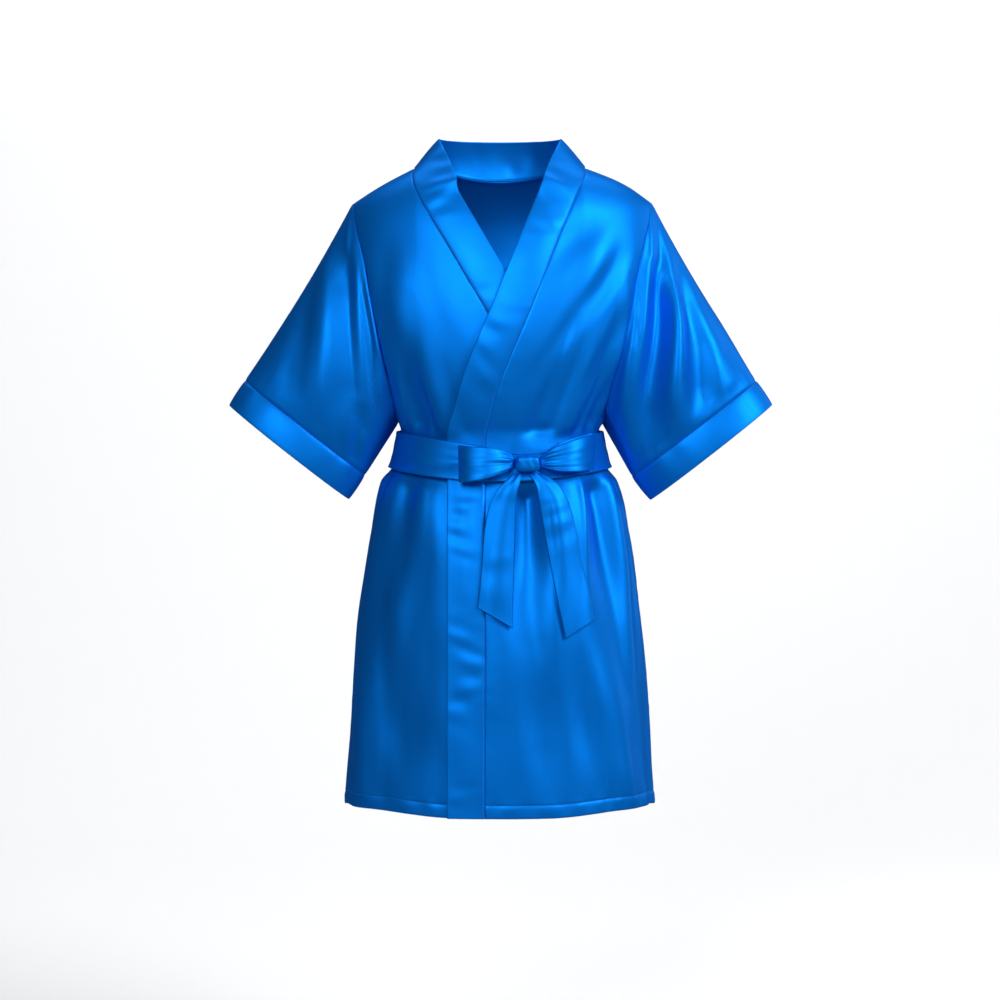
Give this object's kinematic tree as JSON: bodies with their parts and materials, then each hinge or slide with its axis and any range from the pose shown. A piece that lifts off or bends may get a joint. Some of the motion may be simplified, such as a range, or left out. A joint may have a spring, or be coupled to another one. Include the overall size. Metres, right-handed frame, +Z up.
{
  "type": "short satin peignoir",
  "caption": "Short satin wrap robe with wide cuffed sleeves, a neckband down both fronts and a belt tied in a bow, filled out as worn.",
  "frame": {"origin": "middle of the shoulder line, level with the two neck points, where the shoulders hold the robe up", "axes": "+Z up, -Y out of the robe's front, +X to the viewer's right, which is the wearer's left"},
  "size_m": [0.7048, 0.2771, 0.8643],
  "materials": {
    "satin": "satin weave, bright blue, with a soft sheen"
  },
  "bodies": {
    "root": {"back": "satin", "front_over": "satin", "front_under": "satin", "sleeve_right": "satin", "sleeve_left": "satin", "cuff_right": "satin", "cuff_left": "satin", "neckband": "satin", "belt_wrap": "satin", "belt_loop_left": "satin", "belt_loop_right": "satin", "belt_knot": "satin", "belt_tail_left": "satin", "belt_tail_right": "satin"}
  },
  "joints": []
}
